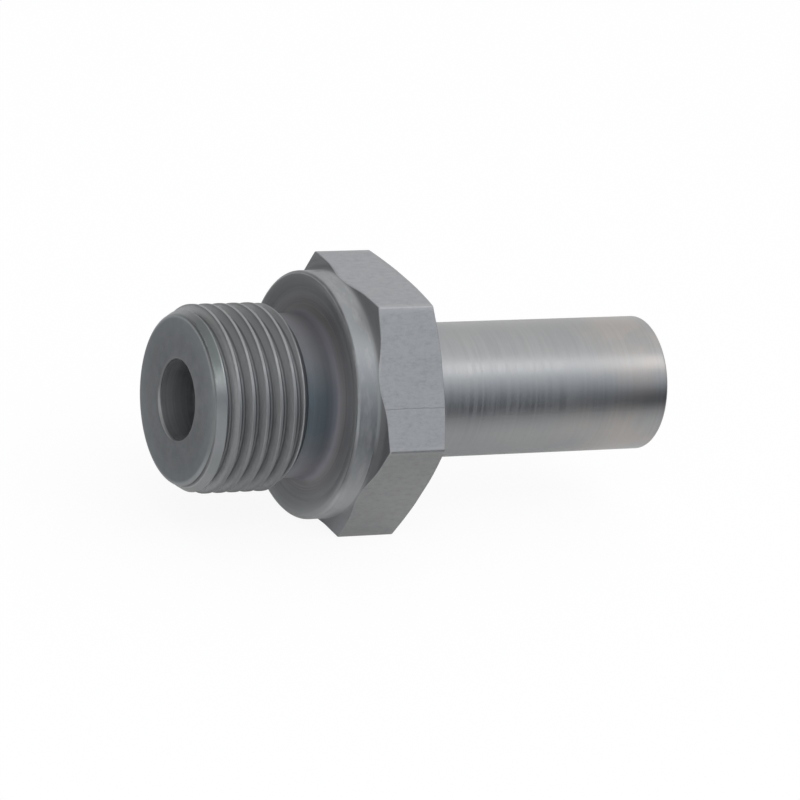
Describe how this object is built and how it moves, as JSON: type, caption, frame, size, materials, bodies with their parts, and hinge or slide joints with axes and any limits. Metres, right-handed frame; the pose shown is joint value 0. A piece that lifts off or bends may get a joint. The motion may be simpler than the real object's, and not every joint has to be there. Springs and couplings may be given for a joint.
{
  "type": "screw-in fitting",
  "caption": "One-piece steel screw-in fitting with a male pipe thread, a cutting-edge sealing collar, a spanner hexagon, a plain tube stub and a through bore.",
  "frame": {"origin": "on the fitting's axis, in the plane of the collar's sealing edge", "axes": "+X along the axis from the threaded end towards the tube stub, +Z normal to one flat of the hexagon, +Y towards one of its corners; at rest the opposite flat lies at the bottom"},
  "size_m": [0.0462, 0.0254, 0.022],
  "materials": {
    "body_steel": "bare turned steel, satin, with drawn bar skin on the flats"
  },
  "bodies": {
    "root": {"fitting_body": "body_steel"}
  },
  "joints": []
}
